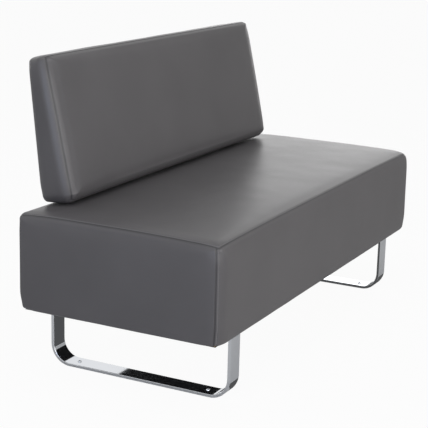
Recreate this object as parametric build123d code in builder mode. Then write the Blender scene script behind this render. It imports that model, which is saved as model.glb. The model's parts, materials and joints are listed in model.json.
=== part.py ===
"""Waiting room sofa: an upholstered box seat and a reclined back on two flat-bar sled legs.

Millimetres, +Z up. The front faces -Y, left is -X. The origin is on the floor, under the middle
of the sofa's outer box.
"""
import os
from math import cos, radians, sin, tan

from build123d import *

# Seat block, over its cover
seat_length = 1300
seat_depth = 550
seat_height = 422
underside = 176
seat_crown = 7
seat_edge_radius = 11
seat_hem_chamfer = 4
seat_seam_drop = 14
seat_corner_wrap = 14

# Back cushion, over its cover
back_end_inset = 94
back_gap = 16
back_rise = 352
back_bottom_thickness = 95
back_front_recline = 12.5
back_rear_recline = 6.1
back_crown = 7
back_front_radius = 14
back_rear_radius = 8
back_corner_radius = 16
back_front_seam = 16
back_rear_seam = 12

# Soft layers
cover = 1.2
soft_gap = 0.3
side_padding = 8
seat_foam_thickness = 80
back_rear_padding = 12
back_edge_padding = 12
dust_cover_thickness = 0.8
dust_cover_inset = 8
dust_window_gap = 1
hem_margin = 3
seat_foam_chamfer = 9
back_corner_chamfer = 13
back_front_chamfer = 12
back_rear_chamfer = 6.5
foam_insets = (cover, cover + soft_gap)

# Timber
rail_thickness = 22
deck_thickness = 12
leg_board_width = 90
leg_board_thickness = 30
corner_block_leg = 50
back_board_thickness = 15

# Sled legs
bar_width = 50
bar_thickness = 8
bend_radius = 55
leg_end_inset = 134
leg_face_inset = 17
leg_bolt_pitch = 340

# Floor glides and their screws
glide_length = 40
glide_width = 24
glide_thickness = 3
glide_past_bend = 16
glide_screw_diameter = 4
glide_screw_bite = 2
glide_head_diameter = 10
glide_head_height = 3

# Back posts
post_width = 70
post_thickness = 8
post_end_inset = 126
post_drop = 110
post_climb = 200
post_slot_gap = 1
post_bolt_margin = 30
post_bolt_pitch = 55
post_bolt_rows = 2

# Bolts and the square nut plates that they meet
bolt_diameter = 8
bolt_head_flats = 13
bolt_head_height = 5.3
bolt_tip_gap = 1
nut_plate_width = 22
nut_plate_thickness = 3
fit_gap = 0.15
hole_gap = 0.5

# Levels above the floor
bar_top = glide_thickness + bar_thickness
frame_bottom = underside + cover
deck_top = seat_height - cover - seat_foam_thickness
deck_bottom = deck_top - deck_thickness
leg_board_top = underside + leg_board_thickness
seat_seam = seat_height - seat_seam_drop
post_bottom = deck_bottom - post_drop
back_bottom = seat_height + back_gap
back_top = back_bottom + back_rise

# Half sizes of the timber frame, of its inside and of the opening in the hem
frame_x = seat_length / 2 - cover - side_padding
frame_y = seat_depth / 2 - cover - side_padding
inner_x = frame_x - rail_thickness
inner_y = frame_y - rail_thickness
hem_x = inner_x + hem_margin
hem_y = inner_y + hem_margin

# Reach of the back behind the middle of the seat. Its top is square to its front, so it falls to the rear
front_lean = radians(back_front_recline)
rear_lean = radians(back_rear_recline)
behind_post = back_board_thickness + back_rear_padding + cover
back_rear_reach = inner_y + behind_post / cos(rear_lean)
top_corner_drop = (cos(rear_lean) - sin(front_lean)) / cos(front_lean - rear_lean)
rounded_off = back_rear_radius * (top_corner_drop * tan(rear_lean) + 1 / cos(rear_lean) - 1)
rear_reach = back_rear_reach + back_rise * tan(rear_lean) - rounded_off

# Places along Y: the middle of the seat, the rear rail's inner face and the back's lower edges
seat_y = (seat_depth / 2 - rear_reach) / 2
post_y = seat_y + inner_y
back_rear_bottom = seat_y + back_rear_reach
back_front_bottom = back_rear_bottom - back_bottom_thickness

# Places of the legs, glides and posts, and the length of the back
sides = {"left": -1, "right": 1}
ends = {"front": -1, "rear": 1}
leg_x = seat_length / 2 - leg_end_inset
leg_half = seat_depth / 2 - leg_face_inset
glide_y = leg_half - bend_radius - glide_past_bend
back_length = seat_length - 2 * back_end_inset
post_x = back_length / 2 - post_end_inset
rail_x = frame_x - rail_thickness / 2
rail_y = frame_y - rail_thickness / 2
glide_spots = [(sx * leg_x, seat_y + sy * glide_y) for sx in sides.values() for sy in ends.values()]
leg_bolt_spots = [
    (sx * leg_x, seat_y + sy * leg_bolt_pitch / 2) for sx in sides.values() for sy in ends.values()
]
post_spots = [(sx * post_x, post_y - post_thickness / 2) for sx in sides.values()]

# Board plane: X along the sofa, Y up the back board, Z out of the board's front face
board_plane = Plane(
    origin=(0, post_y, back_bottom),
    x_dir=(1, 0, 0),
    z_dir=(0, -cos(rear_lean), sin(rear_lean)),
)
front_plane = Plane(
    origin=(0, back_front_bottom, back_bottom),
    x_dir=(1, 0, 0),
    z_dir=(0, -cos(front_lean), sin(front_lean)),
)
board_rear_plane = board_plane.offset(-back_board_thickness)
front_seam_plane = front_plane.offset(-back_front_seam)
rear_seam_plane = board_plane.offset(back_rear_seam - behind_post)
board_low = (cover + back_edge_padding) / cos(rear_lean)
board_high = (back_rise - cover - back_edge_padding) / cos(rear_lean)
board_length = back_length - 2 * (cover + back_edge_padding)

# Planes under the bolt heads, and under the nut plates that the bolts reach
leg_bolt_planes = [
    Plane((x, y, underside - bar_thickness), x_dir=(1, 0, 0), z_dir=(0, 0, -1)) for x, y in leg_bolt_spots
]
leg_nut_planes = [Plane((x, y, leg_board_top)) for x, y in leg_bolt_spots]
rail_bolt_spots = [
    (sx * post_x, post_bottom + post_bolt_margin + row * post_bolt_pitch)
    for sx in sides.values()
    for row in range(post_bolt_rows)
]
rail_bolt_planes = [
    Plane((x, post_y - post_thickness, z), x_dir=(1, 0, 0), z_dir=(0, -1, 0)) for x, z in rail_bolt_spots
]
rail_nut_planes = [
    Plane((x, seat_y + frame_y - nut_plate_thickness, z), x_dir=(1, 0, 0), z_dir=(0, 1, 0))
    for x, z in rail_bolt_spots
]
board_bolt_spots = [
    (sx * post_x, post_climb - post_bolt_margin - row * post_bolt_pitch)
    for sx in sides.values()
    for row in range(post_bolt_rows)
]
board_bolt_planes = [
    Plane(board_plane.from_local_coords((x, climb, post_thickness)), (1, 0, 0), board_plane.z_dir)
    for x, climb in board_bolt_spots
]
board_nut_planes = [
    Plane(
        board_rear_plane.from_local_coords((x, climb, nut_plate_thickness)),
        (1, 0, 0),
        -board_plane.z_dir,
    )
    for x, climb in board_bolt_spots
]

# Sizes of cuts: boxes past every side of the soft forms, bolt holes, post slots and plate recesses
cut_x = 2 * seat_length
cut_y = 2 * seat_depth
cut_z = 2 * seat_height
head_radius = bolt_head_flats / 2 / cos(radians(30))
bolt_hole_radius = bolt_diameter / 2 + hole_gap
slot_width = post_width + 2 * post_slot_gap
slot_depth = post_thickness + 2 * post_slot_gap
recess_width = nut_plate_width + 2 * fit_gap
from_below = (Align.CENTER, Align.CENTER, Align.MIN)
from_above = (Align.CENTER, Align.CENTER, Align.MAX)
pieces = {}


def seat_form(inset, finish, size):
    """Seat block with a crowned top, inset all round, its edges finished to a size."""
    front = seat_y - seat_depth / 2 + inset
    rear = seat_y + seat_depth / 2 - inset
    top = seat_height - inset
    bottom = underside + inset
    with BuildPart() as form:
        with BuildSketch(Plane.YZ):
            with BuildLine():
                Polyline((front, top), (front, bottom), (rear, bottom), (rear, top))
                ThreePointArc((front, top), (seat_y, top + seat_crown), (rear, top))
            make_face()
        extrude(amount=seat_length / 2 - inset, both=True)
        finish(form.edges() - form.faces().sort_by(Axis.Z)[0].edges(), size)
        chamfer(form.faces().sort_by(Axis.Z)[0].edges(), seat_hem_chamfer)
    return form.part


def back_form(inset, finish, corner_size, front_size, rear_size):
    """Wedge-shaped back cushion with a crowned front, inset all round, its edges finished to sizes."""
    bottom = back_bottom + inset
    rear_top = back_top - inset * top_corner_drop

    def front_at(z):
        return back_front_bottom + inset / cos(front_lean) + (z - back_bottom) * tan(front_lean)

    def rear_at(z):
        return back_rear_bottom - inset / cos(rear_lean) + (z - back_bottom) * tan(rear_lean)

    with BuildPart() as form:
        with BuildSketch(Plane.YZ):
            with BuildLine():
                top_depth = rear_at(rear_top) - front_at(rear_top)
                front_top = rear_top + top_depth * sin(front_lean) * cos(front_lean)
                middle = (bottom + front_top) / 2
                low_front = (front_at(bottom), bottom)
                high_front = (front_at(front_top), front_top)
                Polyline(low_front, (rear_at(bottom), bottom), (rear_at(rear_top), rear_top), high_front)
                ThreePointArc(high_front, (front_at(middle) - back_crown, middle), low_front)
            make_face()
        extrude(amount=back_length / 2 - inset, both=True)
        finish(form.edges().filter_by(Axis.Y), corner_size)
        front_face = form.faces().sort_by(Axis(front_plane.origin, front_plane.z_dir))[-1]
        finish(front_face.edges(), front_size)
        rear_face = form.faces().sort_by(Axis(board_plane.origin, board_plane.z_dir))[0]
        finish(rear_face.edges(), rear_size)
    return form.part


def hex_bolts(length, planes):
    """Hex bolts down from each plane, with the undersides of their heads on it."""
    with BuildPart() as bolts:
        for plane in planes:
            with BuildSketch(plane):
                RegularPolygon(radius=head_radius, side_count=6)
            extrude(amount=bolt_head_height)
            with BuildSketch(plane):
                Circle(bolt_diameter / 2)
            extrude(amount=-length)
    return bolts


def nut_plates(planes):
    """Square nut plates, one up from each plane."""
    with BuildPart() as plates:
        for plane in planes:
            with BuildSketch(plane):
                Rectangle(nut_plate_width, nut_plate_width)
                Circle(bolt_diameter / 2 + fit_gap, mode=Mode.SUBTRACT)
            extrude(amount=nut_plate_thickness)
    return plates


# Sewn forms: the cover's rounded outer face, its inner face over the seam allowances, and the foam
seat_outer = seat_form(0, fillet, seat_edge_radius)
seat_lining, seat_core = [seat_form(inset, chamfer, seat_foam_chamfer) for inset in foam_insets]
back_outer = back_form(0, fillet, back_corner_radius, back_front_radius, back_rear_radius)
back_lining, back_core = [
    back_form(inset, chamfer, back_corner_chamfer, back_front_chamfer, back_rear_chamfer)
    for inset in foam_insets
]

# Sled legs, with a flat bar welded between the tops of each
for side, sx in sides.items():
    with BuildPart() as leg_loop:
        with BuildSketch(Plane.YZ.offset(sx * leg_x - bar_width / 2)):
            with BuildLine():
                FilletPolyline(
                    (seat_y - leg_half, underside),
                    (seat_y - leg_half, glide_thickness),
                    (seat_y + leg_half, glide_thickness),
                    (seat_y + leg_half, underside),
                    radius=bend_radius,
                )
                offset(amount=bar_thickness, side=Side.LEFT)
            make_face()
        extrude(amount=bar_width)
        with Locations(*[(sx * leg_x, seat_y + sy * glide_y, bar_top) for sy in ends.values()]):
            Hole(glide_screw_diameter / 2 + fit_gap, depth=bar_thickness)
    pieces[f"leg_loop_{side}"] = leg_loop

    with BuildPart() as leg_mounting_bar:
        with Locations((sx * leg_x, seat_y, underside)):
            Box(bar_width, 2 * (leg_half - bar_thickness), bar_thickness, align=from_above)
        with Locations(*[(x, y, underside) for x, y in leg_bolt_spots if x * sx > 0]):
            Hole(bolt_hole_radius, depth=bar_thickness)
    pieces[f"leg_mounting_bar_{side}"] = leg_mounting_bar

# Floor glides, screwed up against the bars
for side, sx in sides.items():
    for end, sy in ends.items():
        with BuildPart() as glide:
            with Locations((sx * leg_x, seat_y + sy * glide_y, 0)):
                Box(glide_width, glide_length, glide_thickness, align=from_below)
            with Locations((sx * leg_x, seat_y + sy * glide_y, glide_thickness)):
                Hole(glide_screw_diameter / 2 + fit_gap, depth=glide_screw_bite)
        pieces[f"glide_{end}_{side}"] = glide

with BuildPart() as glide_screws:
    with Locations(*[(x, y, bar_top) for x, y in glide_spots]):
        Cylinder(glide_head_diameter / 2, glide_head_height, align=from_below)
        Cylinder(glide_screw_diameter / 2, bar_thickness + glide_screw_bite, align=from_above)
pieces["glide_screws"] = glide_screws

# Leg bolts, from below through the mounting bars and leg boards into nut plates
leg_clamp = bar_thickness + leg_board_thickness + nut_plate_thickness
pieces["leg_bolts"] = hex_bolts(leg_clamp - bolt_tip_gap, leg_bolt_planes)
pieces["leg_nut_plates"] = nut_plates(leg_nut_planes)

# Seat frame: long rails at the front and rear, with end rails and a cross rail between them
for end, sy in ends.items():
    with BuildPart() as long_rail:
        with Locations((0, seat_y + sy * rail_y, frame_bottom)):
            Box(2 * frame_x, rail_thickness, deck_bottom - frame_bottom, align=from_below)
        if end == "rear":
            with Locations(*rail_nut_planes):
                Hole(bolt_hole_radius, depth=rail_thickness)
                Box(recess_width, recess_width, nut_plate_thickness, align=from_below, mode=Mode.SUBTRACT)
    pieces[f"seat_{end}_rail"] = long_rail

for name, x in (("end_rail_left", -rail_x), ("end_rail_right", rail_x), ("cross_rail", 0)):
    with BuildPart() as short_rail:
        with Locations((x, seat_y, frame_bottom)):
            Box(rail_thickness, 2 * inner_y, deck_bottom - frame_bottom, align=from_below)
    pieces[f"seat_{name}"] = short_rail

for side, sx in sides.items():
    with BuildPart() as leg_board:
        with Locations((sx * leg_x, seat_y, underside)):
            Box(leg_board_width, 2 * inner_y, leg_board_thickness, align=from_below)
        with Locations(*[(x, y, leg_board_top) for x, y in leg_bolt_spots if x * sx > 0]):
            Hole(bolt_hole_radius, depth=leg_board_thickness)
    pieces[f"leg_board_{side}"] = leg_board

with BuildPart() as corner_blocks:
    with BuildSketch(Plane.XY.offset(leg_board_top)):
        for sx in sides.values():
            for sy in ends.values():
                corner_x = sx * inner_x
                corner_y = seat_y + sy * inner_y
                along = (corner_x - sx * corner_block_leg, corner_y)
                across = (corner_x, corner_y - sy * corner_block_leg)
                with BuildLine():
                    Polyline((corner_x, corner_y), along, across, close=True)
                make_face()
    extrude(amount=deck_bottom - leg_board_top)
pieces["corner_blocks"] = corner_blocks

# Plywood deck, slotted for the back posts
with BuildPart() as seat_deck:
    with Locations((0, seat_y, deck_bottom)):
        Box(2 * frame_x, 2 * frame_y, deck_thickness, align=from_below)
    with Locations(*[(x, y, deck_bottom) for x, y in post_spots]):
        Box(slot_width, slot_depth, deck_thickness, align=from_below, mode=Mode.SUBTRACT)
pieces["seat_deck"] = seat_deck

# Seat foam on the deck, and thin padding on the rails below it
with BuildPart() as seat_foam:
    add(seat_core)
    with Locations((0, seat_y, deck_top)):
        Box(cut_x, cut_y, cut_z, align=from_below, mode=Mode.INTERSECT)
    with Locations(*[(x, y, deck_top) for x, y in post_spots]):
        Box(slot_width, slot_depth, cut_z, align=from_below, mode=Mode.SUBTRACT)
pieces["seat_foam"] = seat_foam

for end, sy in ends.items():
    with BuildPart() as long_padding:
        add(seat_core)
        with Locations((0, seat_y + sy * (frame_y + cut_y / 2), deck_top)):
            Box(cut_x, cut_y, cut_z, align=from_above, mode=Mode.INTERSECT)
    pieces[f"seat_padding_{end}"] = long_padding

for side, sx in sides.items():
    with BuildPart() as end_padding:
        add(seat_core)
        with Locations((sx * (frame_x + cut_x / 2), seat_y, deck_top)):
            Box(cut_x, 2 * frame_y, cut_z, align=from_above, mode=Mode.INTERSECT)
    pieces[f"seat_padding_{side}"] = end_padding

# Seat cover: one sewn shell, open between its hems and slotted for the posts, cut along its seams
with BuildPart() as seat_shell:
    add(seat_outer)
    add(seat_lining, mode=Mode.SUBTRACT)
    with Locations((0, seat_y, underside)):
        Box(2 * hem_x, 2 * hem_y, 2 * cover, align=from_below, mode=Mode.SUBTRACT)
    with Locations(*[(x, y, seat_seam) for x, y in post_spots]):
        Box(slot_width, slot_depth, cut_z, align=from_below, mode=Mode.SUBTRACT)

with BuildPart() as seat_cover_top:
    add(seat_shell.part)
    with Locations((0, seat_y, seat_seam)):
        Box(cut_x, cut_y, cut_z, align=from_below, mode=Mode.INTERSECT)
pieces["seat_cover_top"] = seat_cover_top

end_panel_width = seat_depth - 2 * seat_corner_wrap
end_panel_spots = [(sx * (hem_x + cut_x / 2), seat_y, seat_seam) for sx in sides.values()]
for side, spot in zip(sides, end_panel_spots):
    with BuildPart() as end_panel:
        add(seat_shell.part)
        with Locations(spot):
            Box(cut_x, end_panel_width, cut_z, align=from_above, mode=Mode.INTERSECT)
    pieces[f"seat_cover_{side}"] = end_panel

for end, sy in ends.items():
    with BuildPart() as long_panel:
        add(seat_shell.part)
        with Locations((0, seat_y + sy * cut_y / 2, seat_seam)):
            Box(cut_x, cut_y, cut_z, align=from_above, mode=Mode.INTERSECT)
        with Locations(*end_panel_spots):
            Box(cut_x, end_panel_width, cut_z, align=from_above, mode=Mode.SUBTRACT)
    pieces[f"seat_cover_{end}"] = long_panel

# Dust cover under the seat, with windows for the legs
with BuildPart() as dust_cover:
    with BuildSketch(Plane.XY.offset(underside)):
        with Locations((0, seat_y)):
            Rectangle(seat_length - 2 * dust_cover_inset, seat_depth - 2 * dust_cover_inset)
        with Locations(*[(sx * leg_x, seat_y) for sx in sides.values()]):
            Rectangle(bar_width + 2 * dust_window_gap, 2 * (leg_half + dust_window_gap), mode=Mode.SUBTRACT)
    extrude(amount=-dust_cover_thickness)
pieces["dust_cover"] = dust_cover

# Back posts: flat bar, upright on the rear rail and bent at the back's foot to follow its board
for side, sx in sides.items():
    with BuildPart() as back_post:
        with BuildSketch(Plane.YZ.offset(sx * post_x - post_width / 2)):
            with BuildLine():
                head_y = post_y + post_climb * sin(rear_lean)
                head_z = back_bottom + post_climb * cos(rear_lean)
                Polyline((post_y, post_bottom), (post_y, back_bottom), (head_y, head_z))
                offset(amount=post_thickness, side=Side.LEFT, kind=Kind.INTERSECTION)
            make_face()
        extrude(amount=post_width)
        with Locations(*rail_bolt_planes, *board_bolt_planes):
            Hole(bolt_hole_radius, depth=post_thickness)
    pieces[f"back_post_{side}"] = back_post

rail_bolts = hex_bolts(post_thickness + rail_thickness - bolt_tip_gap, rail_bolt_planes)
board_bolts = hex_bolts(post_thickness + back_board_thickness - bolt_tip_gap, board_bolt_planes)
with BuildPart() as back_post_bolts:
    add(rail_bolts.part)
    add(board_bolts.part)
pieces["back_post_bolts"] = back_post_bolts
pieces["back_post_nut_plates"] = nut_plates(rail_nut_planes + board_nut_planes)

# Back board, bored for the post bolts and recessed for their nut plates
with BuildPart() as board_blank:
    with BuildSketch(board_rear_plane):
        with Locations((0, (board_low + board_high) / 2)):
            Rectangle(board_length, board_high - board_low)
    extrude(amount=back_board_thickness)

with BuildPart() as back_board:
    add(board_blank.part)
    with Locations(*board_nut_planes):
        Hole(bolt_hole_radius, depth=back_board_thickness)
        Box(recess_width, recess_width, nut_plate_thickness, align=from_below, mode=Mode.SUBTRACT)
pieces["back_board"] = back_board

# Back foam: a wedge in front, which wraps the board's edges and takes the posts, and a sheet behind
bolt_channel_width = 2 * (head_radius + hole_gap)
with BuildPart() as back_foam_front:
    add(back_core)
    split(bisect_by=board_rear_plane, keep=Keep.TOP)
    add(board_blank.part, mode=Mode.SUBTRACT)
    with BuildSketch(board_plane):
        with Locations(*[(sx * post_x, 0) for sx in sides.values()]):
            Rectangle(slot_width, 2 * (post_climb + post_slot_gap))
    extrude(amount=post_thickness + post_slot_gap, mode=Mode.SUBTRACT)
    with BuildSketch(board_plane):
        with Locations(*board_bolt_spots):
            Rectangle(bolt_channel_width, bolt_channel_width)
    extrude(amount=post_thickness + bolt_head_height + hole_gap, mode=Mode.SUBTRACT)
pieces["back_foam_front"] = back_foam_front

with BuildPart() as back_foam_rear:
    add(back_core)
    split(bisect_by=board_rear_plane, keep=Keep.BOTTOM)
pieces["back_foam_rear"] = back_foam_rear

# Back cover: one sewn shell, slotted for the posts, cut along its seams
with BuildPart() as back_shell:
    add(back_outer)
    add(back_lining, mode=Mode.SUBTRACT)
    with Locations(*[(x, y, back_bottom) for x, y in post_spots]):
        Box(slot_width, slot_depth, 2 * (cover + soft_gap), mode=Mode.SUBTRACT)

with BuildPart() as back_cover_front:
    add(back_shell.part)
    split(bisect_by=front_seam_plane, keep=Keep.TOP)
pieces["back_cover_front"] = back_cover_front

with BuildPart() as back_cover_boxing:
    add(back_shell.part)
    split(bisect_by=front_seam_plane, keep=Keep.BOTTOM)
    split(bisect_by=rear_seam_plane, keep=Keep.TOP)
pieces["back_cover_boxing"] = back_cover_boxing

with BuildPart() as back_cover_rear:
    add(back_shell.part)
    split(bisect_by=rear_seam_plane, keep=Keep.BOTTOM)
pieces["back_cover_rear"] = back_cover_rear

os.makedirs("parts", exist_ok=True)
for label, piece in pieces.items():
    piece.part.label = label
    export_step(piece.part, f"parts/{label}.step")
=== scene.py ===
"""Looks of the waiting room sofa: sewn cushions, chromed legs, stitching and studio, in metres."""
import json
from math import cos, pi, radians, sin, tan

import bpy
import numpy as np
from mathutils import Matrix, Vector, noise


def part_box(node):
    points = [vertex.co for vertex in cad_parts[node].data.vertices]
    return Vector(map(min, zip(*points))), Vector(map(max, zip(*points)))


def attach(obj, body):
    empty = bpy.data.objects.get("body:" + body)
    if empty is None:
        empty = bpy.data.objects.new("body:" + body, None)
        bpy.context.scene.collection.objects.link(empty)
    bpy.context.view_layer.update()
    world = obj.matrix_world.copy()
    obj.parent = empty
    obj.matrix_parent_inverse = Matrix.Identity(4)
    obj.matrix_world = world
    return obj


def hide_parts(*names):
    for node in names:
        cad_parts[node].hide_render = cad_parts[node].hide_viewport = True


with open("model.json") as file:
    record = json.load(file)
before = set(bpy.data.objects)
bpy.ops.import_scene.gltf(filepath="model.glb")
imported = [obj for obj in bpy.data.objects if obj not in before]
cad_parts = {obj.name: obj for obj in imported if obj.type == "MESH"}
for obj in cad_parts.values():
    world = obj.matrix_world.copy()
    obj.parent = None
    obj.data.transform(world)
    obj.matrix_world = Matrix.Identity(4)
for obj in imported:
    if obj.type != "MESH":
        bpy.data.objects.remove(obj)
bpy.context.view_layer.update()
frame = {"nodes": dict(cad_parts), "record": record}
scene = bpy.context.scene
scene.view_settings.view_transform = "Standard"

# Photo's camera, fitted to its edges: angles in degrees, focal length in pixels
photo_width = 428
camera_yaw = 26.953
camera_pitch = 14.185
camera_roll = 1.498
camera_focal = 1268.5
camera_from_seat = Vector((-3.1105, -1.5099, 1.1922))
sensor_width = 36

# Seat: radii of its soft edges, low and high along X, Y and Z
seat_radii = ((0.022, 0.022), (0.018, 0.012), (0.010, 0.015))
seat_seam_steps = 3
seat_proud = 0.0053
seat_swell = 0.0025

# Seat's crown across and bow along: heights, and the powers and shares that shape them
seat_crown = 0.007
seat_crown_start = 0.8
seat_crown_fade = 0.2
seat_front_fullness = 2
seat_rear_fullness = 6
seat_bow = 0.005
seat_bow_fullness = 4
seat_bow_end = 0.55
seat_bow_fade = 0.35

# Seat's lower rim, and how far its corners are drawn in along X, Y and Z
seat_rim_drop = 0.002
seat_rim_width = 0.02
seat_rim_share = 0.2
seat_foot_share = 0.5
seat_foot_blunting = (0.005, 0.005, 0.0015)
seat_front_blunting = (0.004, 0.004, 0.003)
seat_right_blunting = (0.007, 0.005, 0.006)
seat_rear_blunting = (0.001, 0.001, 0.0)

# Back: radii of its soft edges as for the seat, its wedge, and how far each side stands proud
back_radii = ((0.028, 0.028), (0.028, 0.012), (0.022, 0.011))
back_seam_steps = 0
back_rise = 0.352
back_thickness = 0.095
back_rear_rounding = 0.008
front_lean = radians(12.5)
rear_lean = radians(6.1)
back_end_proud = 0.010
back_front_proud = 0.007
back_rear_proud = 0.003
back_foot_proud = 0.003
back_top_proud = 0.0025
back_swell = 0.002

# Back's crowned front, bulging ends, tilted and arched foot, and corners drawn in
back_crown = 0.004
back_end_crown = 0.002
back_crown_fullness = 6
back_crown_depth = 0.8
back_end_bulge = 0.005
back_end_reach = 0.06
back_bulge_fullness = 4
back_foot_tilt = 0.006
back_foot_arch = 0.0025
back_foot_reach = 0.06
back_arch_fullness = 4
back_flat_reach = 0.012
back_blunting = (0.003, 0.002, 0.0015)

# Sewn forms: grid, seams, filling and the slight unevenness of the foam
arc_steps = 7
finest_cell = 0.0025
coarsest_cell = 0.014
cell_growth = 1.35
on_seam = 1e-6
far_from_seams = 1.0
least_move = 1e-9
seam_depth = 0.0016
seam_width = 0.0013
seam_shade_reach = 0.0016
row_depth = 0.0009
swell_pressure = 12.0
swell_frames = 20
smoothing_passes = 6
blunting_reach = 0.05
unevenness = 0.0009
wave_scales = ((7, 1.0), (17, 0.5))
wave_fade = 0.04
wall_share = 0.4

# Stitching, a row beside each seam
stitch_pitch = 0.0055
stitch_length = 0.0040
stitch_radius = 0.0005
stitch_row = 2

# Rods of stitches and staples: rings as place along the length, width and height
rod_sides = 6
rod_rings = ((-0.5, 0.45, -0.9), (-0.3, 1.0, 0.1), (0.3, 1.0, 0.1), (0.5, 0.45, -0.9))

# Dust cover, stapled along its edges
dust_cell = 0.02
dust_sag = 0.004
dust_sag_reach = 0.12
dust_ripple = 0.35
dust_ripple_scale = 14
dust_window_gap = 0.001
least_cell = 1e-5
staple_inset = 0.006
staple_pitch = 0.055
staple_length = 0.010
staple_radius = 0.0006

# Chromed flat bar, and the pan-head screws in it
bar_edge = 0.0012
bar_edge_steps = 3
bar_support = 0.0004
bend_radius = 0.055
bend_steps = 24
head_radius = 0.005
head_fullness = 3.2
head_rings = 20
head_turns = 64
recess_width = 0.0008
recess_length = 0.0026
recess_depth = 0.0014
eased_edge = 0.0008

# Studio
floor_reach = 12
world_light = 0.3

X, Y, Z = AXES = (0, 1, 2)
LOW, HIGH = 0, 1


def span(*nodes):
    """Lowest and highest corner of several CAD nodes together."""
    boxes = [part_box(node) for node in nodes]
    low = Vector([min(box[LOW][axis] for box in boxes) for axis in AXES])
    high = Vector([max(box[HIGH][axis] for box in boxes) for axis in AXES])
    return low, high


def add_mesh(name, points, faces):
    """New smooth object from points and faces, linked to the scene."""
    mesh = bpy.data.meshes.new(name)
    mesh.from_pydata([tuple(point) for point in points], [], [tuple(face) for face in faces])
    mesh.validate()
    mesh.shade_smooth()
    piece = bpy.data.objects.new(name, mesh)
    scene.collection.objects.link(piece)
    return piece


# Materials
def new_material(name):
    """Node material with its Principled shader."""
    material = bpy.data.materials.new(name)
    material.use_nodes = True
    tree = material.node_tree
    return material, tree.nodes, tree.links, tree.nodes["Principled BSDF"]


def texture(nodes, links, kind, scale, detail=2.0):
    """Procedural texture on object coordinates."""
    place = nodes.new("ShaderNodeTexCoord")
    made = nodes.new(kind)
    made.inputs["Scale"].default_value = scale
    if "Detail" in made.inputs:
        made.inputs["Detail"].default_value = detail
    links.new(place.outputs["Object"], made.inputs["Vector"])
    return made


def ramp(nodes, links, source, low, high, first=0.0, last=1.0):
    """Colour ramp from one colour to another over a source's values."""
    made = nodes.new("ShaderNodeValToRGB")
    made.color_ramp.elements[0].color = (*low, 1)
    made.color_ramp.elements[1].color = (*high, 1)
    made.color_ramp.elements[0].position = first
    made.color_ramp.elements[1].position = last
    links.new(source, made.inputs["Fac"])
    return made.outputs["Color"]


def spread(nodes, links, source, low, high):
    """Number that runs from low to high as a source runs from 0 to 1."""
    made = nodes.new("ShaderNodeMapRange")
    made.inputs["To Min"].default_value = low
    made.inputs["To Max"].default_value = high
    links.new(source, made.inputs["Value"])
    return made.outputs["Result"]


def bump(nodes, links, shader, height, distance, strength, under=None):
    """Bump of a height in metres, over another bump if there is one."""
    made = nodes.new("ShaderNodeBump")
    made.inputs["Distance"].default_value = distance
    made.inputs["Strength"].default_value = strength
    links.new(height, made.inputs["Height"])
    if under is not None:
        links.new(under, made.inputs["Normal"])
    links.new(made.outputs["Normal"], shader.inputs["Normal"])
    return made.outputs["Normal"]


def upholstery_material():
    """Grey leather-look vinyl with a fine pebbled grain, and painted shade that darkens it down in
    its seams.
    """
    material, nodes, links, shader = new_material("grey_vinyl")
    tone = texture(nodes, links, "ShaderNodeTexNoise", scale=6, detail=3)
    cells = texture(nodes, links, "ShaderNodeTexVoronoi", scale=900)
    pores = texture(nodes, links, "ShaderNodeTexNoise", scale=2600, detail=3)
    colour = ramp(nodes, links, tone.outputs["Fac"], low=(0.088, 0.0845, 0.088),
                  high=(0.098, 0.094, 0.098), first=0.3, last=0.7)
    # Painted shade: the base colour is darkened towards the seams, where their creases lie in shade
    seam = nodes.new("ShaderNodeAttribute")
    seam.attribute_name = "seam"
    seam_painted_shade = ramp(nodes, links, seam.outputs["Fac"], low=(0.42, 0.42, 0.43), high=(1, 1, 1),
                last=seam_shade_reach)
    mix = nodes.new("ShaderNodeMix")
    mix.data_type = "RGBA"
    mix.blend_type = "MULTIPLY"
    mix.inputs["Factor"].default_value = 1
    links.new(colour, mix.inputs["A"])
    links.new(seam_painted_shade, mix.inputs["B"])
    links.new(mix.outputs["Result"], shader.inputs["Base Color"])
    polish = spread(nodes, links, tone.outputs["Fac"], low=0.33, high=0.41)
    links.new(polish, shader.inputs["Roughness"])
    shader.inputs["Specular IOR Level"].default_value = 0.4
    grain = bump(nodes, links, shader, cells.outputs["Distance"], distance=0.00012, strength=0.35)
    bump(nodes, links, shader, pores.outputs["Fac"], distance=0.00008, strength=0.25, under=grain)
    return material


def thread_material():
    """Grey twisted polyester thread."""
    material, nodes, links, shader = new_material("grey_thread")
    twist = texture(nodes, links, "ShaderNodeTexNoise", scale=3000, detail=2)
    colour = ramp(nodes, links, twist.outputs["Fac"], low=(0.20, 0.195, 0.20),
                  high=(0.29, 0.285, 0.295))
    links.new(colour, shader.inputs["Base Color"])
    shader.inputs["Roughness"].default_value = 0.7
    bump(nodes, links, shader, twist.outputs["Fac"], distance=0.0001, strength=0.5)
    return material


def metal_material(name, low, high, roughness, scale, distance):
    """Metal with slight changes in tone and polish."""
    material, nodes, links, shader = new_material(name)
    smudge = texture(nodes, links, "ShaderNodeTexNoise", scale, detail=4)
    colour = ramp(nodes, links, smudge.outputs["Fac"], low, high)
    links.new(colour, shader.inputs["Base Color"])
    links.new(spread(nodes, links, smudge.outputs["Fac"], *roughness), shader.inputs["Roughness"])
    shader.inputs["Metallic"].default_value = 1
    bump(nodes, links, shader, smudge.outputs["Fac"], distance, strength=0.1)
    return material


def matt_material(name, low, high, roughness, scale, distance):
    """Matt material with a fine mottle and a matching bump."""
    material, nodes, links, shader = new_material(name)
    mottle = texture(nodes, links, "ShaderNodeTexNoise", scale, detail=4)
    colour = ramp(nodes, links, mottle.outputs["Fac"], low, high, first=0.3, last=0.7)
    links.new(colour, shader.inputs["Base Color"])
    shader.inputs["Roughness"].default_value = roughness
    bump(nodes, links, shader, mottle.outputs["Fac"], distance, strength=0.5)
    return material


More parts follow.
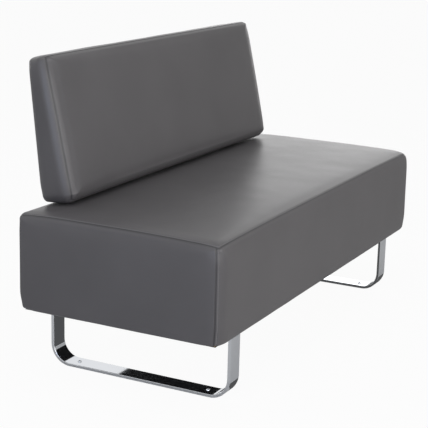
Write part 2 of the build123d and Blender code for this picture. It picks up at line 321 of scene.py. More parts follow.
def wood_material(name, low, high, stretch):
    """Wood with its grain along the sofa."""
    material, nodes, links, shader = new_material(name)
    place = nodes.new("ShaderNodeTexCoord")
    scaled = nodes.new("ShaderNodeMapping")
    scaled.inputs["Scale"].default_value = stretch
    links.new(place.outputs["Object"], scaled.inputs["Vector"])
    rings = nodes.new("ShaderNodeTexNoise")
    rings.inputs["Scale"].default_value = 6
    rings.inputs["Detail"].default_value = 6
    links.new(scaled.outputs["Vector"], rings.inputs["Vector"])
    colour = ramp(nodes, links, rings.outputs["Fac"], low, high, first=0.3, last=0.7)
    links.new(colour, shader.inputs["Base Color"])
    shader.inputs["Roughness"].default_value = 0.6
    bump(nodes, links, shader, rings.outputs["Fac"], distance=0.0003, strength=0.4)
    return material


vinyl = upholstery_material()
thread = thread_material()
chrome = metal_material("chrome", low=(0.66, 0.68, 0.71), high=(0.75, 0.77, 0.80),
                        roughness=(0.03, 0.07), scale=8, distance=0.00002)
zinc = metal_material("bright_zinc", low=(0.5, 0.51, 0.53), high=(0.66, 0.67, 0.66),
                      roughness=(0.25, 0.42), scale=120, distance=0.00005)
black_coat = matt_material("black_powder_coat", low=(0.012, 0.012, 0.013),
                           high=(0.022, 0.022, 0.023), roughness=0.55, scale=900, distance=0.0001)
black_plastic = matt_material("black_plastic", low=(0.016, 0.016, 0.017), high=(0.028, 0.028, 0.03),
                              roughness=0.45, scale=1500, distance=0.00005)
dust_cloth = matt_material("black_non_woven", low=(0.008, 0.008, 0.009), high=(0.03, 0.03, 0.032),
                           roughness=0.95, scale=700, distance=0.0004)
softwood = wood_material("softwood", low=(0.42, 0.27, 0.13), high=(0.62, 0.44, 0.24),
                         stretch=(1, 12, 12))
birch = wood_material("birch_plywood", low=(0.5, 0.36, 0.2), high=(0.68, 0.52, 0.33),
                      stretch=(2, 9, 30))

# Foam never shows: the sewn forms stand for it and for the covers
cad_materials = {
    "upholstery": vinyl,
    "foam": vinyl,
    "frame_timber": softwood,
    "plywood": birch,
    "chromed_steel": chrome,
    "black_steel": black_coat,
    "zinc_plated_steel": zinc,
    "black_plastic": black_plastic,
    "dust_cloth": dust_cloth,
}
for subpart in frame["record"]["subparts"]:
    node = frame["nodes"][subpart["node"]]
    node.data.materials.clear()
    node.data.materials.append(cad_materials[subpart["material_slot"]])


# Sewn forms: a box of grid lines with rounded edges. Seams run along the middle of the rounding,
# or, where they stand upright, some grid steps from there, round on the form's ends
def graded(length):
    """Positions along a length, close together at its ends and wide apart in the middle."""
    steps = []
    cell = finest_cell
    while cell < coarsest_cell and 2 * (sum(steps) + cell) < length / 2:
        steps.append(cell)
        cell *= cell_growth
    middle = length - 2 * sum(steps)
    count = max(1, round(middle / coarsest_cell))
    steps = steps + [middle / count] * count + steps[::-1]
    return np.concatenate([[0.0], np.cumsum(steps)])


def stops(length, radii):
    """Grid lines along one axis: place on the inner length, tilt, distances to both edges."""
    angles = np.linspace(pi / 4, 0, arc_steps + 1)[:-1]
    flat = graded(length)
    low_arc, high_arc = [radius * pi / 4 for radius in radii]
    place = np.concatenate([np.zeros(arc_steps), flat, np.full(arc_steps, length)])
    tilt = np.concatenate([-np.tan(angles), np.zeros(len(flat)), np.tan(angles)[::-1]])
    end = low_arc + length + high_arc
    rising = radii[LOW] * (pi / 4 - angles)
    falling = end - radii[HIGH] * (pi / 4 - angles)[::-1]
    run = np.concatenate([rising, low_arc + flat, falling])
    lines = {"place": place, "tilt": tilt, "to_low": run, "to_high": end - run}
    return {name: values.tolist() for name, values in lines.items()}


class Sewn:
    """Mesh of a sewn form: its vertices by grid index, and how far each is from a seam."""

    def __init__(self, name, lengths, radii, inner_point, normals, sewn, seam_steps):
        self.radii = radii
        self.seam_steps = seam_steps
        self.lines = [stops(lengths[axis], radii[axis]) for axis in AXES]
        self.counts = [len(line["place"]) for line in self.lines]
        self.reach = [[radii[axis][side] * normals[axis][side] for side in (LOW, HIGH)]
                      for axis in AXES]
        self.inner_point = inner_point
        self.sewn = sewn
        self.index = {}
        self.points = []
        self.distance = []
        faces = []
        for axis in AXES:
            for side in (LOW, HIGH):
                faces += self.face(axis, side)
        self.piece = add_mesh(name, self.points, faces)
        self.seam = np.array(self.distance)

    def vertex(self, key):
        """Index of the vertex at a grid key, made when it is first asked for."""
        if key not in self.index:
            places = [self.lines[axis]["place"][key[axis]] for axis in AXES]
            tilts = [self.lines[axis]["tilt"][key[axis]] for axis in AXES]
            size = sum(tilt * tilt for tilt in tilts) ** 0.5
            point = self.inner_point(*places)
            for axis in AXES:
                point += self.reach[axis][tilts[axis] > 0] * (abs(tilts[axis]) / size)
            self.index[key] = len(self.points)
            self.points.append(point)
            self.distance.append(far_from_seams)
        return self.index[key]

    def face(self, axis, side):
        """Quads of one side of the form, with the distance to its seams."""
        across, along = [other for other in AXES if other != axis]
        fixed = (self.counts[axis] - 1) * side
        grid = {}
        for i in range(self.counts[across]):
            for j in range(self.counts[along]):
                key = [0, 0, 0]
                key[axis], key[across], key[along] = fixed, i, j
                vertex = self.vertex(tuple(key))
                grid[i, j] = vertex
                for other in (across, along):
                    for end in (LOW, HIGH):
                        if self.sewn((axis, side), (other, end)):
                            gap = self.seam_gap((axis, side), (other, end), key)
                            self.distance[vertex] = min(self.distance[vertex], gap)
        turned = (axis == Y) ^ (side == LOW)
        quads = []
        for i in range(self.counts[across] - 1):
            for j in range(self.counts[along] - 1):
                quad = [grid[i, j], grid[i + 1, j], grid[i + 1, j + 1], grid[i, j + 1]]
                quads.append(quad[::-1] if turned else quad)
        return quads

    def seam_gap(self, face, border, key):
        """Distance from a grid key on one side to the seam at one of its borders."""
        axis, end = border
        reach = self.lines[axis][("to_low", "to_high")[end]][key[axis]]
        if Z in (face[0], axis):
            return reach
        step = self.seam_steps * pi / 4 / arc_steps
        if face[0] == X:
            return abs(reach - step * self.radii[axis][end])
        return reach + step * self.radii[face[0]][face[1]]

    def row(self, axis, side, border, end, step):
        """Chain of vertices on one side of the form, some grid steps in from a border."""
        along = [other for other in AXES if other not in (axis, border)][0]
        key = [0, 0, 0]
        key[axis] = (self.counts[axis] - 1) * side
        key[border] = step if end == LOW else self.counts[border] - 1 - step
        chain = []
        for stop in range(step, self.counts[along] - step):
            key[along] = stop
            chain.append(self.index[tuple(key)])
        return chain


def inflate(piece, held, cap):
    """Swells a mesh between its held vertices by cloth simulation, each vertex by a cap at most."""
    group = piece.vertex_groups.new(name="held")
    group.add([int(vertex) for vertex in held], 1.0, "REPLACE")
    cloth = piece.modifiers.new("swell", "CLOTH")
    settings = cloth.settings
    settings.quality = 6
    settings.mass = 0.4
    settings.tension_stiffness = 60
    settings.compression_stiffness = 60
    settings.shear_stiffness = 30
    settings.bending_stiffness = 4
    settings.vertex_group_mass = group.name
    settings.use_pressure = True
    settings.uniform_pressure_force = swell_pressure
    settings.effector_weights.gravity = 0
    cloth.collision_settings.use_collision = False
    rest = coordinates(piece.data)
    for step in range(1, swell_frames + 1):
        scene.frame_set(step)
    swollen = piece.evaluated_get(bpy.context.evaluated_depsgraph_get()).to_mesh()
    moved = coordinates(swollen) - rest
    reach = np.linalg.norm(moved, axis=1, keepdims=True)
    limited = moved * (cap * np.tanh(reach / cap) / np.maximum(reach, least_move))
    for _ in range(smoothing_passes):
        limited = even_out(piece.data, limited)
    piece.modifiers.remove(cloth)
    piece.vertex_groups.remove(group)
    scene.frame_set(1)
    set_coordinates(piece.data, rest + limited)


def even_out(mesh, moves):
    """Blends each vertex's move half way to the mean of its neighbours' moves."""
    ends = np.zeros(len(mesh.edges) * 2, np.int64)
    mesh.edges.foreach_get("vertices", ends)
    first, second = ends.reshape(-1, 2).T
    total = np.zeros_like(moves)
    count = np.zeros((len(moves), 1))
    for here, there in ((first, second), (second, first)):
        np.add.at(total, here, moves[there])
        np.add.at(count, here, 1)
    return (moves + total / count) / 2


def coordinates(mesh):
    """Vertex places of a mesh as rows."""
    flat = np.zeros(len(mesh.vertices) * 3, np.float32)
    mesh.vertices.foreach_get("co", flat)
    return flat.reshape(-1, 3).astype(float)


def set_coordinates(mesh, points):
    """Moves a mesh's vertices to new places."""
    mesh.vertices.foreach_set("co", points.astype(np.float32).ravel())
    mesh.update()


def normals_of(mesh):
    """Vertex normals of a mesh as rows."""
    flat = np.zeros(len(mesh.vertices) * 3, np.float32)
    mesh.vertex_normals.foreach_get("vector", flat)
    return flat.reshape(-1, 3).astype(float)


def point_values(mesh, name):
    """Values of a mesh's attribute, one for each vertex."""
    values = np.zeros(len(mesh.vertices), np.float32)
    mesh.attributes[name].data.foreach_get("value", values)
    return values


def smooth_step(values):
    """Eases values from 0 to 1, flat at both ends."""
    eased = np.clip(values, 0, 1)
    return eased * eased * (3 - 2 * eased)


def blunt(places, near, inward, depths):
    """Draws the corners of a form in, by how near each vertex is to a corner along each axis."""
    share = np.prod(smooth_step(1 - near / blunting_reach), axis=1)
    return places + inward * depths * share[:, None]


def waviness(place):
    """Smooth unevenness of the foam at a place."""
    return sum(share * noise.noise(Vector(place) * scale) for scale, share in wave_scales)


def refine(form, chains):
    """Subdivides a sewn form, sinks its seams and stitch rows, and makes it a little uneven."""
    piece = form.piece
    rows = np.zeros(len(piece.data.vertices), np.float32)
    rows[[vertex for chain in chains for vertex in chain]] = 1
    for name, values in (("seam", form.seam), ("row", rows)):
        attribute = piece.data.attributes.new(name, "FLOAT", "POINT")
        attribute.data.foreach_set("value", values.astype(np.float32))
    smoother = piece.modifiers.new("smoother", "SUBSURF")
    smoother.levels = 1
    evaluated = piece.evaluated_get(bpy.context.evaluated_depsgraph_get())
    mesh = bpy.data.meshes.new_from_object(evaluated)
    piece.modifiers.remove(smoother)
    piece.data = mesh
    distance = point_values(mesh, "seam")
    rows = point_values(mesh, "row")
    places = coordinates(mesh)
    waves = np.array([waviness(place) for place in places])
    outward = normals_of(mesh)
    lying = wall_share + (1 - wall_share) * np.clip(outward[:, Z], 0, 1)
    move = unevenness * waves * lying * smooth_step(distance / wave_fade)
    move -= seam_depth * np.exp(-(distance / seam_width) ** 2) + row_depth * rows
    set_coordinates(mesh, places + outward * move[:, None])
    mesh.shade_smooth()


def threads(name, lines, pitch, length, radius, material):
    """Short rods along lines of points and normals, such as stitches or staples, as one object."""
    turns = [2 * pi * turn / rod_sides for turn in range(rod_sides)]
    points = []
    faces = []
    for line, up in lines:
        run = np.concatenate([[0], np.cumsum(np.linalg.norm(np.diff(line, axis=0), axis=1))])
        count = int(run[-1] / pitch)
        for number in range(count):
            middle = (number + 0.5) * run[-1] / count
            front = middle + length / 2
            centre = Vector([np.interp(middle, run, line[:, axis]) for axis in AXES])
            ahead = Vector([np.interp(front, run, line[:, axis]) for axis in AXES])
            rise = Vector([np.interp(middle, run, up[:, axis]) for axis in AXES]).normalized()
            forward = (ahead - centre).normalized()
            side = forward.cross(rise)
            first = len(points)
            for along, width, height in rod_rings:
                spot = centre + forward * (along * length) + rise * (height * radius)
                for turn in turns:
                    points.append(spot + radius * width * (side * cos(turn) + rise * sin(turn)))
            for ring in range(len(rod_rings) - 1):
                for turn in range(rod_sides):
                    low = first + ring * rod_sides + turn
                    beside = first + ring * rod_sides + (turn + 1) % rod_sides
                    faces.append((low, beside, beside + rod_sides, low + rod_sides))
    piece = add_mesh(name, points, faces)
    piece.data.materials.append(material)
    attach(piece, "root")
    return piece


# Seat: top and wall panels sewn along the top edges and corners, its underside folded to a hem
seat_panels = ("seat_cover_top", "seat_cover_front", "seat_cover_rear", "seat_cover_left",
               "seat_cover_right")
seat_low, seat_high = span(*seat_panels)
seat_low -= Vector((seat_proud, seat_proud, 0))
seat_high += Vector((seat_proud, seat_proud, -seat_crown))
seat_middle = (seat_low + seat_high) / 2
seat_inner_low = seat_low + Vector([seat_radii[axis][LOW] for axis in AXES])
seat_lengths = seat_high - seat_low - Vector([sum(seat_radii[axis]) for axis in AXES])
box_normals = [(-Vector(row), Vector(row)) for row in np.eye(3)]


def seat_point(x, y, z):
    """Point of the seat's inner box."""
    return seat_inner_low + Vector((x, y, z))


def seat_sewn(face, border):
    """Whether a side of the seat is sewn at a border: at all edges but the underside's."""
    return (Z, LOW) not in (face, border)


def make_seat():
    """Sewn seat with its stitching, crowned across and bowed along its length."""
    form = Sewn("seat_upholstery", seat_lengths, seat_radii, seat_point, box_normals,
                seat_sewn, seat_seam_steps)
    piece = form.piece
    rest = coordinates(piece.data)
    under = rest[:, Z] < seat_low.z + seat_radii[Z][LOW]
    inflate(piece, np.flatnonzero(under | (form.seam < on_seam)), seat_swell)
    raised = coordinates(piece.data)
    half = (seat_high - seat_low) / 2
    across = np.clip((rest[:, Y] - seat_middle.y) / half.y, -1, 1)
    along = np.clip((rest[:, X] - seat_middle.x) / half.x, -1, 1)
    height = np.clip((rest[:, Z] - seat_low.z) / (seat_high.z - seat_low.z), 0, 1)

    # Crown and bow of the top, and the drop of the lower rim
    fall = np.where(across < 0, across ** seat_front_fullness, across ** seat_rear_fullness)
    upper = smooth_step((height - seat_crown_start) / seat_crown_fade)
    raised[:, Z] += seat_crown * (1 - fall) * upper
    kept = 1 - smooth_step((across - seat_bow_end) / seat_bow_fade)
    raised[:, Z] += seat_bow * (1 - along ** seat_bow_fullness) * height ** 2 * kept
    near = np.minimum(rest - np.array(seat_low), np.array(seat_high) - rest)
    rim = smooth_step(1 - near[:, :2].min(axis=1) / seat_rim_width)
    raised[:, Z] -= seat_rim_drop * rim * smooth_step(1 - height / seat_rim_share)

    # Corners
    depths = np.where(across[:, None] < 0, seat_front_blunting, seat_rear_blunting)
    right_front = (across < 0) & (along > 0)
    depths = np.where(right_front[:, None], seat_right_blunting, depths)
    depths = np.where(height[:, None] < seat_foot_share, seat_foot_blunting, depths)
    raised = blunt(raised, near, np.sign(np.array(seat_middle) - rest), depths)
    set_coordinates(piece.data, raised)

    # Stitches: rows on the top inside its seams, and down the middle of the upright edges
    sides = (LOW, HIGH)
    chains = [form.row(Z, HIGH, axis, end, stitch_row) for axis in (X, Y) for end in sides]
    chains += [form.row(Y, side, X, end, 0) for side in sides for end in sides]
    refine(form, chains)
    places, outward = coordinates(piece.data), normals_of(piece.data)
    lines = [(places[chain], outward[chain]) for chain in chains]
    threads("seat_stitching", lines, stitch_pitch, stitch_length, stitch_radius, thread)
    piece.data.materials.append(vinyl)
    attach(piece, "root")
    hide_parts(*seat_panels, "seat_foam", "seat_padding_front", "seat_padding_rear",
                "seat_padding_left", "seat_padding_right")


# Back: front and rear panels sewn to a boxing strip round a wedge, whose top is square to its front
back_panels = ("back_cover_front", "back_cover_boxing", "back_cover_rear")
back_low, back_high = span(*back_panels)
corner_drop = (cos(rear_lean) - sin(front_lean)) / cos(front_lean - rear_lean)
rounded_off = back_rear_rounding * (corner_drop * tan(rear_lean) + 1 / cos(rear_lean) - 1)
rear_foot = back_high.y - back_rise * tan(rear_lean) + rounded_off
front_foot = rear_foot - back_thickness
rear_foot += back_rear_proud / cos(rear_lean) - back_foot_proud * tan(rear_lean)
front_foot -= back_front_proud / cos(front_lean) + back_foot_proud * tan(front_lean)
back_low -= Vector((back_end_proud, 0, back_foot_proud))
back_high += Vector((back_end_proud, 0, back_top_proud))
full_rise = back_rise + back_foot_proud + back_top_proud
full_thickness = rear_foot - front_foot
wedge_normals = [
    box_normals[X],
    (Vector((0, -cos(front_lean), sin(front_lean))), Vector((0, cos(rear_lean), -sin(rear_lean)))),
    (Vector((0, 0, -1)), Vector((0, sin(front_lean), cos(front_lean)))),
]
back_lengths = (back_high.x - back_low.x - sum(back_radii[X]),
                full_thickness - sum(back_radii[Y]), full_rise - sum(back_radii[Z]))


def back_point(x, y, z):
    """Point of the back's inner wedge, along it, from front to rear and from foot to top."""
    share = y / back_lengths[Y]
    climb = z / back_lengths[Z]
    low = back_radii[Z][LOW]
    front_line = front_foot + back_radii[Y][LOW] / cos(front_lean)
    rear_line = rear_foot - back_radii[Y][HIGH] / cos(rear_lean)
    depth = rear_line - front_line - full_rise * (tan(front_lean) - tan(rear_lean))
    rear_high = full_rise - back_radii[Z][HIGH]
    front_high = rear_high + depth * sin(front_lean) * cos(front_lean)
    front_z = low + climb * (front_high - low)
    rear_low = low - back_foot_tilt
    rear_z = rear_low + climb * (rear_high - rear_low)
    front_y = front_line + front_z * tan(front_lean)
    rear_y = rear_line + rear_z * tan(rear_lean)
    return Vector((back_low.x + back_radii[X][LOW] + x, front_y + share * (rear_y - front_y),
                   back_low.z + front_z + share * (rear_z - front_z)))


def back_sewn(face, border):
    """Whether a side of the back is sewn at a border: round its front and rear panels."""
    return Y in (face[0], border[0])


def make_back():
    """Sewn back cushion, its front fuller in the middle than at its ends."""
    form = Sewn("back_upholstery", back_lengths, back_radii, back_point, wedge_normals,
                back_sewn, back_seam_steps)
    piece = form.piece
    rest = coordinates(piece.data)
    inflate(piece, np.flatnonzero(form.seam < on_seam), back_swell)
    swollen = coordinates(piece.data)
    rise = rest[:, Z] - back_low.z
    along = np.clip(2 * (rest[:, X] - back_low.x) / (back_high.x - back_low.x) - 1, -1, 1)
    climb = np.clip(2 * rise / (back_high.z - back_low.z) - 1, -1, 1)
    front = front_foot + rise * tan(front_lean)
    rear = rear_foot + rise * tan(rear_lean)
    across = np.clip((2 * rest[:, Y] - front - rear) / (rear - front), -1, 1)

    # Crown of the front
    nearness = smooth_step(1 - (rest[:, Y] - front) / (back_crown_depth * full_thickness))
    crown = back_end_crown + (back_crown - back_end_crown) * (1 - along ** back_crown_fullness)
    swollen[:, Y] -= crown * (1 - climb ** 2) * nearness

    # Foot: flat below, arched at the front
    lift = rise + back_foot_tilt * (1 + across) / 2
    swollen[:, Z] += (rest - swollen)[:, Z] * smooth_step(1 - lift / back_flat_reach)
    foot = smooth_step(1 - rise / back_foot_reach)
    swollen[:, Z] += back_foot_arch * (1 - along ** back_arch_fullness) * foot * nearness

    # Ends and corners
    ends = smooth_step(1 - (back_high.x - np.abs(rest[:, X])) / back_end_reach)
    bulge = back_end_bulge * (1 - across ** 2) * (1 - climb ** back_bulge_fullness)
    swollen[:, X] += np.sign(rest[:, X]) * bulge * ends
    even = np.ones(len(rest))
    middle = np.stack([0 * even, (front + rear) / 2, even * (back_low.z + back_high.z) / 2], 1)
    half = np.stack([even * back_high.x, (rear - front) / 2,
                     even * (back_high.z - back_low.z) / 2], 1)
    near = half - np.abs(rest - middle)
    swollen = blunt(swollen, near, np.sign(middle - rest), np.array(back_blunting))
    set_coordinates(piece.data, swollen)
    refine(form, [])
    piece.data.materials.append(vinyl)
    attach(piece, "root")
    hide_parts(*back_panels, "back_foam_front", "back_foam_rear")


# Chromed legs: flat bar with eased edges, swept along the loop
def bar_profile(width, thickness):
    """Outline of the flat bar across its length, with eased edges."""
    corners = ((1, 1), (-1, 1), (-1, -1), (1, -1))
    outline = []
    for quarter, (sx, sy) in enumerate(corners):
        middle = Vector((sx * (width / 2 - bar_edge), sy * (thickness / 2 - bar_edge)))
        turns = [quarter * pi / 2 + step * pi / (2 * bar_edge_steps)
                 for step in range(bar_edge_steps + 1)]
        arc = [middle + bar_edge * Vector((cos(turn), sin(turn))) for turn in turns]
        before = Vector((sin(turns[0]), -cos(turns[0]))) * bar_support
        after = Vector((-sin(turns[-1]), cos(turns[-1]))) * bar_support
        outline += [arc[0] + before, *arc, arc[-1] + after]
    return outline


def leg_stations(low, high):
    """Places along a leg's outer face, from its front top round to its rear top, with the turn."""
    bend_z = low.z + bend_radius
    front_y = low.y + bend_radius
    rear_y = high.y - bend_radius
    turns = np.linspace(0, pi / 2, bend_steps)
    stations = [
        (low.y, high.z, 0.0),
        (low.y, high.z - bar_support, 0.0),
        (low.y, bend_z + bar_support, 0.0),
    ]
    for turn in turns:
        y, z = front_y - bend_radius * cos(turn), bend_z - bend_radius * sin(turn)
        stations.append((y, z, turn))
    stations.append((front_y + bar_support, low.z, pi / 2))
    stations.append((rear_y - bar_support, low.z, pi / 2))
    for turn in turns:
        y, z = rear_y + bend_radius * sin(turn), bend_z - bend_radius * cos(turn)
        stations.append((y, z, pi / 2 + turn))
    stations.append((high.y, bend_z + bar_support, pi))
    stations.append((high.y, high.z - bar_support, pi))
    stations.append((high.y, high.z, pi))
    return stations


def make_leg(side):
    """One sled leg, which replaces its CAD loop."""
    node = f"leg_loop_{side}"
    low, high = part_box(node)
    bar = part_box(f"leg_mounting_bar_{side}")
    thickness = bar[LOW].y - low.y
    stations = leg_stations(low, high)
    outline = bar_profile(high.x - low.x, thickness)
    middle = (low.x + high.x) / 2
    points = []
    for y, z, turn in stations:
        inward = Vector((0, cos(turn), sin(turn)))
        centre = Vector((middle, y, z)) + inward * thickness / 2
        points += [centre + Vector((x, 0, 0)) + inward * across for x, across in outline]
    size = len(outline)
    faces = []
    for station in range(len(stations) - 1):
        for corner in range(size):
            first = station * size + corner
            second = station * size + (corner + 1) % size
            faces.append((first, second, second + size, first + size))
    faces.append(tuple(range(size))[::-1])
    faces.append(tuple(range((len(stations) - 1) * size, len(stations) * size)))
    piece = add_mesh(f"chrome_leg_{side}", points, faces)
    piece.data.materials.append(chrome)
    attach(piece, "root")
    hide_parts(node)


# Dust cover: black cloth stapled under the seat, with windows for the legs
def make_dust_cover():
    """Sagging dust cover with its staples."""
    low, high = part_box("dust_cover")
    windows = [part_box(f"leg_loop_{side}") for side in ("left", "right")]
    gap = Vector((dust_window_gap, dust_window_gap, 0))
    windows = [(box[LOW] - gap, box[HIGH] + gap) for box in windows]

    def lines(axis):
        """Grid lines along an axis, with one at each border of the cloth and its windows."""
        borders = (corner[axis] for box in windows for corner in box)
        marks = sorted({low[axis], high[axis], *borders})
        places = []
        for start, end in zip(marks, marks[1:]):
            if end - start > least_cell:
                count = max(1, round((end - start) / dust_cell))
                places += np.linspace(start, end, 1 + count)[:-1].tolist()
        return places + [high[axis]]

    def in_window(x, y):
        """Whether a place lies in a window."""
        return any(box[LOW].x < x < box[HIGH].x and box[LOW].y < y < box[HIGH].y
                   for box in windows)

    def hold(x, y):
        """Distance to the nearest place where the cloth is held."""
        reach = [x - low.x, high.x - x, y - low.y, high.y - y]
        for box in windows:
            aside = max(box[LOW].x - x, x - box[HIGH].x, 0)
            ahead = max(box[LOW].y - y, y - box[HIGH].y, 0)
            reach.append((aside ** 2 + ahead ** 2) ** 0.5)
        return min(reach)

    columns, rows = lines(X), lines(Y)
    points = []
    for x in columns:
        for y in rows:
            slack = float(smooth_step(hold(x, y) / dust_sag_reach))
            ripple = noise.noise(Vector((x, y, 0)) * dust_ripple_scale)
            points.append((x, y, low.z - slack * dust_sag * (1 + dust_ripple * ripple)))
    faces = []
    for i in range(len(columns) - 1):
        for j in range(len(rows) - 1):
            x, y = (columns[i] + columns[i + 1]) / 2, (rows[j] + rows[j + 1]) / 2
            if not in_window(x, y):
                first = i * len(rows) + j
                faces.append((first, first + 1, first + len(rows) + 1, first + len(rows)))
    piece = add_mesh("dust_cloth", points, faces)
    piece.data.materials.append(dust_cloth)

    corners = [(low.x, low.y), (high.x, low.y), (high.x, high.y), (low.x, high.y)]
    inset = [(x - np.sign(x) * staple_inset, y - np.sign(y - seat_middle.y) * staple_inset)
             for x, y in corners]
    down = np.array([(0, 0, -1), (0, 0, -1)])
    edges = [np.array([(*start, low.z), (*end, low.z)])
             for start, end in zip(inset, inset[1:] + inset[:1])]
    staples = threads("dust_staples", [(edge, down) for edge in edges], staple_pitch,
                      staple_length, staple_radius, zinc)
    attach(piece, "root")
    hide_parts("dust_cover")


# Pan heads with a cross recess, on the leg bars
def make_screws():
    """Heads of the screws that hold the glides."""
    low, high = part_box("glide_screws")
    bar_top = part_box("glide_front_left")[HIGH].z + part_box("leg_mounting_bar_left")[HIGH].z
    bar_top -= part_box("leg_mounting_bar_left")[LOW].z
    height = high.z - bar_top
    points = []
    faces = []
    for middle_x in (low.x + head_radius, high.x - head_radius):
        for middle_y in (low.y + head_radius, high.y - head_radius):
            first = len(points)
            for ring in range(head_rings + 1):
                reach = sin(pi / 2 * ring / head_rings)
                for turn in range(head_turns):
                    x = head_radius * reach * cos(2 * pi * turn / head_turns)
                    y = head_radius * reach * sin(2 * pi * turn / head_turns)
                    z = height * (1 - reach ** head_fullness) ** 0.5
                    near, far = sorted((abs(x), abs(y)))
                    if near < recess_width and far < recess_length:
                        z -= recess_depth
                    points.append((middle_x + x, middle_y + y, bar_top + z))
            for ring in range(head_rings):
                for turn in range(head_turns):
                    here = first + ring * head_turns + turn
                    beside = first + ring * head_turns + (turn + 1) % head_turns
                    faces.append((here, here + head_turns, beside + head_turns, beside))
    piece = add_mesh("glide_screw_heads", points, faces)
    piece.data.materials.append(chrome)
    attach(piece, "root")
    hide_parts("glide_screws")


def ease_edges(node):
    """Eases the sharp edges of a CAD node with modifiers."""
    piece = frame["nodes"][node]
    piece.modifiers.new("joined", "WELD").merge_threshold = 0.00001
    bevel = piece.modifiers.new("eased", "BEVEL")
    bevel.width = eased_edge
    bevel.segments = 2
    bevel.limit_method = "ANGLE"
    bevel.angle_limit = radians(40)
    bevel.harden_normals = True


make_seat()
make_back()
for leg_side in ("left", "right"):
    make_leg(leg_side)
    ease_edges(f"leg_mounting_bar_{leg_side}")
    ease_edges(f"back_post_{leg_side}")
    ease_edges(f"glide_front_{leg_side}")
    ease_edges(f"glide_rear_{leg_side}")
make_dust_cover()
make_screws()


# Studio: white surroundings, a pale floor that keeps the shadow, and soft lamps
def seen_rays(nodes, links, straight=1.0, gloss=1.0):
    """How much of the background's own white shows straight, and in gloss or through glass."""
    path = nodes.new("ShaderNodeLightPath")
    shares = {"Is Camera Ray": straight, "Is Glossy Ray": gloss, "Is Transmission Ray": gloss}
    total = None
    for name, share in shares.items():
        part = nodes.new("ShaderNodeMath")
        part.operation = "MULTIPLY"
        part.inputs[1].default_value = share
        links.new(path.outputs[name], part.inputs[0])
        if total is None:
            total = part.outputs[0]
            continue
        either = nodes.new("ShaderNodeMath")
        either.operation = "MAXIMUM"
        links.new(total, either.inputs[0])
        links.new(part.outputs[0], either.inputs[1])
        total = either.outputs[0]
    return total


def make_world():
    """White where it shows, and soft light elsewhere."""
    world = bpy.data.worlds.new("studio")
    scene.world = world
    world.use_nodes = True
    nodes, links = world.node_tree.nodes, world.node_tree.links
    shown = nodes["Background"]
    shown.inputs["Color"].default_value = (1, 1, 1, 1)
    shown.inputs["Strength"].default_value = 1
    lit = nodes.new("ShaderNodeBackground")
    lit.inputs["Color"].default_value = (1, 1, 1, 1)
    lit.inputs["Strength"].default_value = world_light
    mix = nodes.new("ShaderNodeMixShader")
    links.new(seen_rays(nodes, links), mix.inputs["Fac"])
    links.new(lit.outputs["Background"], mix.inputs[1])
    links.new(shown.outputs["Background"], mix.inputs[2])
    links.new(mix.outputs["Shader"], nodes["World Output"].inputs["Surface"])


def make_floor():
    """Pale floor that shows nearly white and keeps a soft shadow."""
    corners = ((-1, -1), (1, -1), (1, 1), (-1, 1))
    points = [(sx * floor_reach, sy * floor_reach, 0) for sx, sy in corners]
    floor = add_mesh("floor", points, [(0, 1, 2, 3)])
    material, nodes, links, shader = new_material("pale_floor")
    mottle = texture(nodes, links, "ShaderNodeTexNoise", scale=3, detail=3)
    colour = ramp(nodes, links, mottle.outputs["Fac"], low=(0.69, 0.69, 0.69),
                  high=(0.71, 0.71, 0.71))
    links.new(colour, shader.inputs["Base Color"])
    shader.inputs["Roughness"].default_value = 0.9
    white = nodes.new("ShaderNodeEmission")
    white.inputs["Strength"].default_value = 1
    mix = nodes.new("ShaderNodeMixShader")
    links.new(seen_rays(nodes, links, straight=0.95, gloss=0.05), mix.inputs["Fac"])
    links.new(shader.outputs["BSDF"], mix.inputs[1])
    links.new(white.outputs["Emission"], mix.inputs[2])
    links.new(mix.outputs["Shader"], nodes["Material Output"].inputs["Surface"])
    floor.data.materials.append(material)


def make_lamp(name, place, aim, width, height, power, colour):
    """Soft rectangular lamp that faces a point."""
    lamp = bpy.data.lights.new(name, "AREA")
    lamp.shape = "RECTANGLE"
    lamp.size = width
    lamp.size_y = height
    lamp.energy = power
    lamp.color = colour
    holder = bpy.data.objects.new(name, lamp)
    holder.location = place
    facing = Vector(aim) - Vector(place)
    holder.rotation_euler = facing.to_track_quat("-Z", "Y").to_euler()
    scene.collection.objects.link(holder)


def make_card(name, corners, tone):
    """Flat glowing card, no lamp, that shows only in reflections: painted light or shade in glossy
    surfaces, standing in for a studio's flags and reflectors.
    """
    card = add_mesh(name, corners, [(0, 1, 2, 3)])
    material, nodes, links, _ = new_material(name)
    shade = nodes.new("ShaderNodeEmission")
    shade.inputs["Color"].default_value = (tone, tone, tone, 1)
    links.new(shade.outputs["Emission"], nodes["Material Output"].inputs["Surface"])
    card.data.materials.append(material)
    card.visible_camera = False
    card.visible_diffuse = False
    card.visible_transmission = False
    card.visible_shadow = False


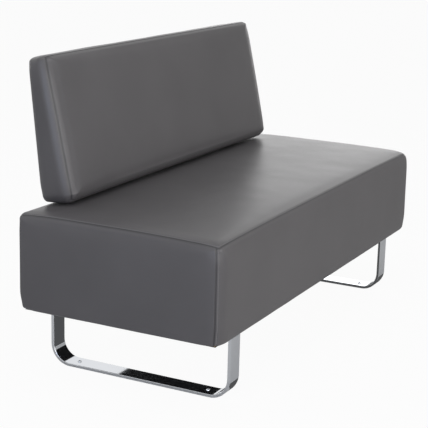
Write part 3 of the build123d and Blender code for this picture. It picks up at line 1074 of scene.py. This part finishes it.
def standing(start, end, low, high):
    """Corners of an upright card over a line on the floor."""
    return [(*start, low), (*end, low), (*end, high), (*start, high)]


def make_camera():
    """Camera at the photo's fitted place, angle and focal length."""
    yaw, pitch, roll = radians(camera_yaw), radians(camera_pitch), radians(camera_roll)
    forward = Vector((cos(yaw) * cos(pitch), sin(yaw) * cos(pitch), -sin(pitch)))
    right = forward.cross(Vector((0, 0, 1))).normalized()
    up = right.cross(forward)
    turned_right = right * cos(roll) + up * sin(roll)
    turned_up = up * cos(roll) - right * sin(roll)
    data = bpy.data.cameras.new("camera")
    data.sensor_width = sensor_width
    data.lens = camera_focal / photo_width * sensor_width
    data.clip_end = 100
    camera = bpy.data.objects.new("camera", data)
    turn = Matrix((turned_right, turned_up, -forward)).transposed().to_4x4()
    place = Vector((0, seat_middle.y, 0)) + camera_from_seat
    camera.matrix_world = Matrix.Translation(place) @ turn
    scene.collection.objects.link(camera)
    scene.camera = camera


make_world()
make_floor()
make_lamp("bank", place=(-1.6, -3.1, 1.15), aim=(-0.4, 0.1, 0.55), width=4.4, height=1.2,
          power=68, colour=(1.0, 0.98, 0.955))
make_lamp("left", place=(-3.5, -0.8, 0.95), aim=(-0.5, 0, 0.6), width=1.6, height=1.2,
          power=22, colour=(0.66, 0.76, 1.0))
make_lamp("top", place=(-0.8, -0.3, 3.4), aim=(0, 0, 0.3), width=2.5, height=2.5,
          power=20, colour=(1.0, 1.0, 1.0))
make_lamp("rear", place=(-0.6, 3.2, 1.3), aim=(0, 0.2, 0.4), width=2.4, height=1.2,
          power=22, colour=(1.0, 1.0, 1.0))
# Painted sheen: a card glowing brighter than white, seen only in reflections, lights up the sheen
# on the seat's top
make_card("painted_sheen_card", standing((3.2, 0.0), (3.6, 2.1), low=0.3, high=1.6), tone=2.3)
# Painted shade: a dim grey glowing card, seen only in reflections, darkens what glossy surfaces
# reflect on the right
make_card("right_painted_shade_card", standing((2.3, -2.2), (3.2, -0.1), low=0, high=2), tone=0.45)
# Painted shadow: a dark glowing card on the floor under the seat, seen only in reflections, stands
# for the seat's shadow in the chrome
shadow_card_height = 0.001
shadow_card_corners = ((-0.48, -0.3), (0.9, -0.3), (0.9, 0.2), (-0.48, 0.2))
make_card("painted_floor_shadow_card", [(*corner, shadow_card_height) for corner in shadow_card_corners], tone=0.1)
make_camera()
